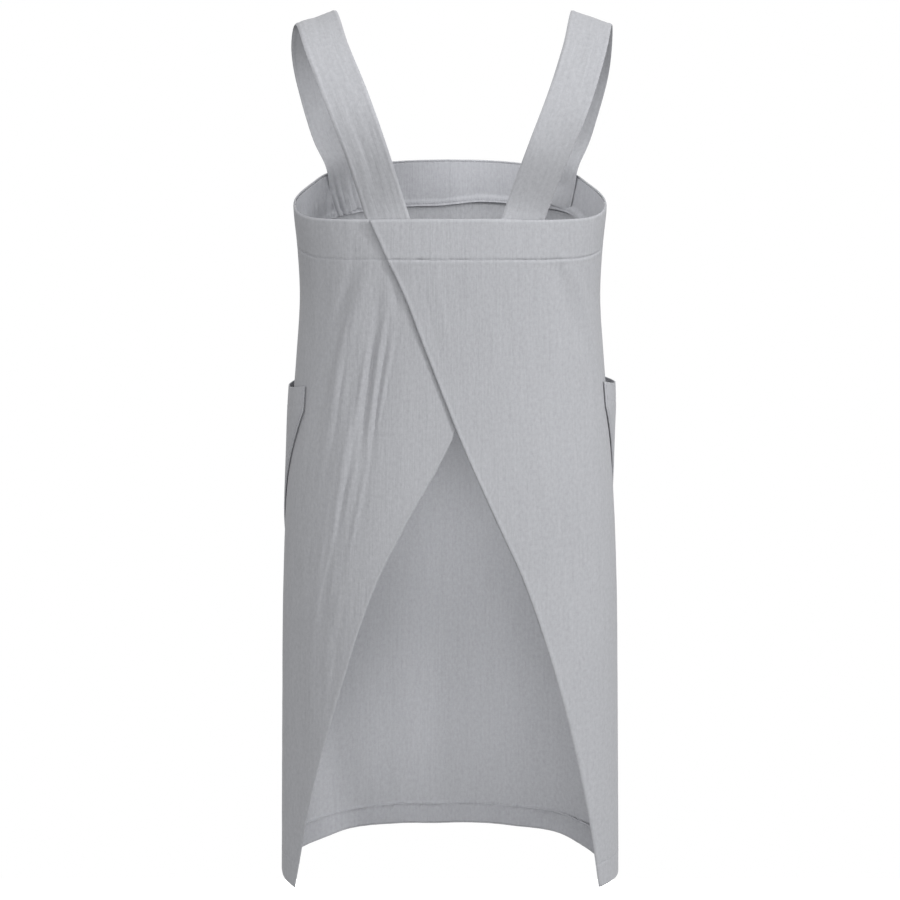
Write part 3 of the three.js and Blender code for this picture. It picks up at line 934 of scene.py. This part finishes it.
class APRON_OT_facings(bpy.types.Operator):
    """The strips folded inside the top edges"""

    bl_idname = "apron.facings"
    bl_label = "Facings"

    def execute(self, context):
        def bib_place(across, band):
            angle = front_angle(across)
            points, drop = bib_facing_surface(angle, band, 0)
            return points, across * 180 * MM_PER_DEGREE, drop

        piece, area = cloth_grid(
            "front_facing", lines_of(FRONT_WIDTH, 0.5), lines_of(BIB_FACING_HEIGHT, 0.6), bib_place,
            FACING_CLOTH, True,
        )
        sewn = stitches(
            "front_facing_stitches",
            [lambda t, out: bib_facing_surface(front_angle(t), 0.93, -FACING_CLOTH / 2 - out)[0]],
        )

        def drop_of(angle, band):
            return top_drop(angle) + mix(FACING_START, BACK_FACING_HEIGHT, band)

        for side, name in ((1, "back_facing_left"), (-1, "back_facing_right")):
            piece, area = back_cloth(
                name, side, lines_of(BACK_FACING_WIDTH, 0.75), lines_of(BACK_FACING_HEIGHT), drop_of,
                FACING_CLOTH, True,
            )
        return {"FINISHED"}


class APRON_OT_front_hem(bpy.types.Operator):
    """The turned-up hem inside the bottom of the front"""

    bl_idname = "apron.front_hem"
    bl_label = "Front hem"

    def execute(self, context):
        def place(across, band):
            points, drop = front_hem_surface(front_angle(across), band, 0)
            return points, across * 180 * MM_PER_DEGREE, drop

        piece, area = cloth_grid(
            "front_hem", lines_of(FRONT_WIDTH, 0.5), lines_of(HEM_HEIGHT, 0.5), place, FACING_CLOTH, True
        )
        sewn = stitches(
            "front_hem_stitches",
            [lambda t, out: front_hem_surface(front_angle(t), 0.14, -FACING_CLOTH / 2 - out)[0]],
        )
        return {"FINISHED"}


class APRON_OT_pockets(bpy.types.Operator):
    """The patch pockets at the sides, with gaping mouths"""

    bl_idname = "apron.pockets"
    bl_label = "Pockets"

    def execute(self, context):
        shoulder = POCKET_SHOULDER / POCKET_HEIGHT
        rows = banded(
            lines_of(POCKET_SHOULDER, 1, True, False),
            lines_of(POCKET_HEIGHT - POCKET_SHOULDER, 1, False),
        )
        near, rim = POCKET_STITCH_INSET / POCKET_WIDTH, POCKET_HEM_HEIGHT / POCKET_HEIGHT
        for side, name in ((1, "pocket_left"), (-1, "pocket_right")):

            def place(across, band, side=side):
                from_back = across if side > 0 else 1 - across
                share = np.where(band <= 1, band * shoulder, mix(shoulder, 1, band - 1))
                points, angle, drop = pocket_surface(side, from_back, share, 0)
                return points, np.abs(angle) * MM_PER_DEGREE, drop

            def line(start, end, side=side):
                def at(t, out):
                    from_back, share = mix(start[0], end[0], t), mix(start[1], end[1], t)
                    return pocket_surface(side, from_back, share, POCKET_CLOTH / 2 + out)[0]

                return at

            piece, area = cloth_grid(name, lines_of(POCKET_WIDTH), rows, place, POCKET_CLOTH)
            sewn = stitches(
                name + "_stitches",
                [
                    line((near, 0.01), (near, 0.985)),
                    line((near, 0.985), (1 - near, 0.985)),
                    line((1 - near, 0.985), (1 - near, 0.01)),
                    line((near, rim), (1 - near, rim)),
                ],
            )
        return {"FINISHED"}


def angle_of_length(length, angle, drop):
    """The degrees that a length in millimetres takes up round the body."""
    step = 0.5
    chord = np.linalg.norm(body_point(angle - step, drop, 0) - body_point(angle + step, drop, 0))
    return length * 2 * step / chord


def sewn_row(side, angle, below, lean):
    """Inner edge, middle and outer edge of a strap where it lies inside the facing."""
    inside = 2 * LAYER_GAP + FACING_CLOTH + STRAP_CLOTH / 2
    top = top_drop(angle)
    towards = math.copysign(1, 90 - angle)
    centre = angle - angle_of_length(below * math.tan(math.radians(lean)), angle, top) * towards
    points = []
    for edge in (-1, 0, 1):
        half = edge * STRAP_WIDTH / 2
        drop = top + below + half * math.sin(math.radians(lean))
        aside = angle_of_length(half * math.cos(math.radians(lean)), centre, top) * towards
        points.append(body_point(np.float64(side * (centre + aside)), np.float64(drop), -inside))
    return points


def strap_rails(side):
    """Rows of three points across a strap, from its back foot over the shoulder to its bib end."""

    def middle(row):
        depth = CHEST_BACK if row[2] > 0 else CHEST_FRONT
        share = row[0] if side > 0 else row[1]
        return np.array([side * share * CHEST_HALF_WIDTH, row[2] * depth, -row[3] * BACK_TOP_DROP])

    foot = [
        sewn_row(side, FOOT_ANGLES[side], below, BACK_LEAN)
        for below in (FOOT_LENGTH, SEWN_MIDDLE * FOOT_LENGTH, -EDGE_CLEAR)
    ]
    bib = [
        sewn_row(side, BIB_END_ANGLES[side], below, BIB_LEAN)
        for below in (-EDGE_CLEAR, SEWN_MIDDLE * BIB_END_LENGTHS[side], BIB_END_LENGTHS[side])
    ]
    middles = [foot[2][1], *[middle(row) for row in STRAP_ROUTE], bib[0][1]]
    free = []
    for i, row in enumerate(STRAP_ROUTE):
        run = middles[i + 2] - middles[i]
        run = run / np.linalg.norm(run)
        turn = math.radians(row[4])
        width = np.array([side * math.cos(turn), math.sin(turn), -math.tan(math.radians(row[5]))])
        width = width - run * width.dot(run)
        width = width / np.linalg.norm(width)
        free.append([middles[i + 1] + width * edge * STRAP_WIDTH / 2 for edge in (-1, 0, 1)])
    return np.array([*foot, *free, *bib])


def along_rail(points, along):
    """Points of a centripetal Catmull-Rom curve at shares of its spans."""
    points = np.concatenate([[2 * points[0] - points[1]], points, [2 * points[-1] - points[-2]]])
    spans = len(points) - 3
    place = np.clip(along, 0, 1) * spans
    i = np.clip(np.floor(place).astype(int), 0, spans - 1)
    t = (place - i)[:, None]
    p0, p1, p2, p3 = points[i], points[i + 1], points[i + 2], points[i + 3]

    def knot(a, b):
        return (np.linalg.norm(b - a, axis=1) ** 0.5)[:, None]

    d0, d1, d2 = knot(p0, p1), knot(p1, p2), knot(p2, p3)
    m1 = ((p1 - p0) / d0 - (p2 - p0) / (d0 + d1) + (p2 - p1) / d1) * d1
    m2 = ((p2 - p1) / d1 - (p3 - p1) / (d1 + d2) + (p3 - p2) / d2) * d1
    start = (1 + 2 * t) * (1 - t) ** 2 * p1 + t * (1 - t) ** 2 * m1
    return start + t * t * (3 - 2 * t) * p2 + t * t * (t - 1) * m2


class StrapSurface:
    """The middle surface of a strap, by share of its length and by place across from -1 to 1."""

    def __init__(self, side):
        rows = strap_rails(side)
        self.side = side
        steps = np.linspace(0, 1, STRAP_STEPS + 1)
        fine = [along_rail(rows[:, i], steps) for i in range(3)]
        runs = np.linalg.norm(np.diff(fine[1], axis=0), axis=1)
        self.length = runs.sum()
        even = np.linspace(0, self.length, STRAP_STEPS + 1)
        far = np.concatenate([[0], np.cumsum(runs)])
        self.rails = [
            np.stack([np.interp(even, far, rail[:, axis]) for axis in range(3)], -1) for rail in fine
        ]

    def point(self, share, edge):
        place = np.clip(share, 0, 1) * STRAP_STEPS
        i = np.clip(np.floor(place).astype(int), 0, STRAP_STEPS - 1)
        t = (place - i)[:, None]
        inner, middle, outer = (mix(rail[i], rail[i + 1], t) for rail in self.rails)
        e = edge[:, None]
        return inner * (e * e - e) / 2 + middle * (1 - e * e) + outer * (e * e + e) / 2

    def outward(self, share, edge):
        near = np.clip(share, 0.004, 0.996)
        run = self.point(near + 0.004, edge) - self.point(near - 0.004, edge)
        ones = np.ones_like(edge)
        width = (self.point(share, ones) - self.point(share, -ones)) * self.side
        normal = np.cross(run, width)
        return normal / np.linalg.norm(normal, axis=1)[:, None]


def strap_relief(side, edge, far, left):
    """Waves, rims and gathers of a strap. far and left are the lengths to its foot and its bib end."""
    u = edge * STRAP_REACH
    wave = 0.55 * crumple(u + 0.12 * far, far, 13, 55, 700 + side)
    wave = wave + 0.24 * crumple(u + 0.1 * far, far, 3.4, 30, 710 + side)
    wave = wave + 0.5 * bell(np.abs(u) - 19.4, 1.6)
    # Both ends are pressed towards the facing that they are sewn to
    sewn = np.maximum(1 - ramp(far, 20, 50), 1 - ramp(left, 30, 60))
    wave = wave + 0.55 * sewn * np.abs(edge) ** 6
    if side < 0:
        # The right bib end stands off the facing
        return wave - 4.5 * (1 - ramp(left, 0, 26)) * ramp(-edge, -1.4, 0.4)
    # The left strap has one long crease behind the shoulder, and its bib end is gathered by its stitches
    wave = wave - 0.8 * bell(u - 2, 2.0) * bell(far - 130, 50)
    gathers = np.sin(u * 0.95 + 2 * crumple(u, far, 9, 40, 720)) + 0.5 * crumple(u, far, 1.9, 18, 730)
    return wave + 3.0 * gathers * (1 - ramp(left, 14, 60)) * (0.7 + 0.3 * np.sin(edge * 5))


class APRON_OT_straps(bpy.types.Operator):
    """The doubled shoulder straps, sewn inside the bib and the back"""

    bl_idname = "apron.straps"
    bl_label = "Straps"

    def execute(self, context):
        for side, name in ((1, "strap_left"), (-1, "strap_right")):
            surface = StrapSurface(side)

            def place(across, along, side=side, surface=surface):
                edge = side * (1 - 2 * across)
                far = along * surface.length
                wave = strap_relief(side, edge, far, surface.length - far)
                points = surface.point(along, edge) + surface.outward(along, edge) * wave[:, None]
                return points, across * STRAP_WIDTH, far

            def thinned(across, along):
                return 1 - np.abs(1 - 2 * across) ** 10

            piece, area = cloth_grid(
                name, lines_of(STRAP_WIDTH, 0.6), lines_of(surface.length, 0.8), place, STRAP_CLOTH,
                False, thinned,
            )
        return {"FINISHED"}


# ---- Stage ----


class APRON_OT_stage(bpy.types.Operator):
    """A pale floor, soft studio light and the camera behind the apron"""

    bl_idname = "apron.stage"
    bl_label = "Stage"

    def execute(self, context):
        scene = context.scene
        drop = scene.apron_sizes.floor_drop
        shape = bmesh.new()
        bmesh.ops.create_grid(shape, x_segments=2, y_segments=2, size=1.3)
        bmesh.ops.translate(shape, vec=Vector((0, 0, -drop)), verts=shape.verts)
        mesh = bpy.data.meshes.new("floor")
        shape.to_mesh(mesh)
        shape.free()
        floor = bpy.data.objects.new("floor", mesh)
        scene.collection.objects.link(floor)
        # A white painted studio floor, lit so that it shows no shadow
        paint = bpy.data.materials.new("white_studio_floor")
        paint.use_nodes = True
        coat = paint.node_tree.nodes["Principled BSDF"].inputs
        coat["Base Color"].default_value = linear("#F7F7F7")
        coat["Roughness"].default_value = 0.9
        coat["Emission Color"].default_value = (1, 1, 1, 1)
        coat["Emission Strength"].default_value = 0.85
        mesh.materials.append(paint)
        # It looks white and yet doesn't light the apron from below
        floor.visible_diffuse = False

        world = bpy.data.worlds.new("white_studio")
        tree = empty_tree(world)
        # The room is white where it is seen. Its light is strongest from both sides
        direction = add_node(tree, "ShaderNodeTexCoord").outputs["Generated"]
        axes = add_node(tree, "ShaderNodeSeparateXYZ", {"Vector": direction}).outputs
        sideways = add_node(
            tree, "ShaderNodeMapRange",
            {"Value": axes["X"], "From Min": -1.0, "From Max": 1.0, "To Min": 0.0, "To Max": 1.0},
        )
        # Less of it comes from below
        upwards = add_node(
            tree, "ShaderNodeMapRange",
            {"Value": axes["Z"], "From Min": -0.35, "From Max": 0.2, "To Min": 0.25, "To Max": 1.0},
        )
        glow = add_node(tree, "ShaderNodeValToRGB", {"Fac": sideways.outputs["Result"]})
        stops = glow.color_ramp.elements
        stops[0].position, stops[1].position = 0.0, 1.0
        stops[0].color = stops[1].color = (1, 1, 1, 1)
        for at, level in ((0.28, 0.76), (0.75, 0.64)):
            stops.new(at).color = (level, level, level, 1)
        room_light = add_node(
            tree, "ShaderNodeMath", {0: glow.outputs["Color"], 1: upwards.outputs["Result"]},
            operation="MULTIPLY",
        )
        seen = add_node(tree, "ShaderNodeLightPath").outputs["Is Camera Ray"]
        strength = add_node(
            tree, "ShaderNodeMix", {"Factor": seen, "A": room_light.outputs["Value"], "B": 1.0},
            data_type="FLOAT",
        )
        sky = add_node(
            tree, "ShaderNodeBackground",
            {"Color": (1, 1, 1, 1), "Strength": strength.outputs["Result"]},
        )
        add_node(tree, "ShaderNodeOutputWorld", {"Surface": sky.outputs["Background"]})
        scene.world = world

        # name, place, aim, size and power of each soft light. The last three hide inside the apron,
        # where they stand for the light that real linen lets through
        lights = [
            ("key_light", (-3.0, 2.3, 1.0), (0, 0, -0.45), 0.5, 69),
            ("fill_light", (0.1, 3.9, 0.5), (0, 0, -0.36), 2.2, 53),
            ("top_light", (-0.4, 1.7, 2.6), (0, 0, -0.1), 0.9, 27),
            ("front_light", (0.6, -3.6, 0.9), (0, 0, -0.45), 2.0, 34),
            ("armhole_light", (0.03, 0.02, -0.12), (-0.16, 0.01, -0.18), 0.06, 0.18),
            ("lining_light", (0.02, 0.04, -0.54), (0, -0.1, -0.63), 0.1, 0.15),
            ("low_lining_light", (0.06, 0.055, -0.81), (-0.07, -0.1, -0.81), 0.16, 0.17),
        ]
        for name, place, target, size, power in lights:
            lamp = bpy.data.lights.new(name, "AREA")
            lamp.shape = "DISK"
            lamp.size = size
            lamp.energy = power
            light = bpy.data.objects.new(name, lamp)
            light.location = place
            light.rotation_euler = (Vector(target) - Vector(place)).to_track_quat("-Z", "Y").to_euler()
            light.visible_camera = False
            scene.collection.objects.link(light)

        # Behind the apron and 13 degrees above it, 3.6 m from its middle, as the perspective shows
        pitch = math.radians(13)
        camera = bpy.data.cameras.new("camera")
        camera.sensor_width = 36
        camera.lens = 136.32
        camera.clip_end = 60
        viewer = bpy.data.objects.new("camera", camera)
        viewer.location = (0, 3.5077, 0.3474)
        viewer.rotation_euler = (math.pi / 2 - pitch, 0, math.pi)
        scene.collection.objects.link(viewer)
        scene.camera = viewer
        scene.view_settings.view_transform = "Standard"
        return {"FINISHED"}


class APRON_PT_panel(bpy.types.Panel):
    """Lists the steps that build the apron"""

    bl_idname = "APRON_PT_panel"
    bl_label = "Cross back apron"
    bl_space_type = "VIEW_3D"
    bl_region_type = "UI"
    bl_category = "Apron"

    def draw(self, context):
        for step in STEPS:
            self.layout.operator(step.bl_idname)
        for group in (context.scene.apron_sizes, context.scene.apron_looks):
            for name in group.__annotations__:
                self.layout.prop(group, name)


STEPS = [
    APRON_OT_stage,
    APRON_OT_straps,
    APRON_OT_front_panel,
    APRON_OT_back_panels,
    APRON_OT_facings,
    APRON_OT_front_hem,
    APRON_OT_pockets,
]
CLASSES = [ApronSizes, ApronLooks, *STEPS, APRON_PT_panel]


def register():
    for item in CLASSES:
        bpy.utils.register_class(item)
    bpy.types.Scene.apron_sizes = bpy.props.PointerProperty(type=ApronSizes)
    bpy.types.Scene.apron_looks = bpy.props.PointerProperty(type=ApronLooks)


def unregister():
    del bpy.types.Scene.apron_looks
    del bpy.types.Scene.apron_sizes
    for item in reversed(CLASSES):
        bpy.utils.unregister_class(item)


def main():
    register()
    for step in STEPS:
        group, name = step.bl_idname.split(".")
        getattr(getattr(bpy.ops, group), name)()


if __name__ == "__main__":
    main()
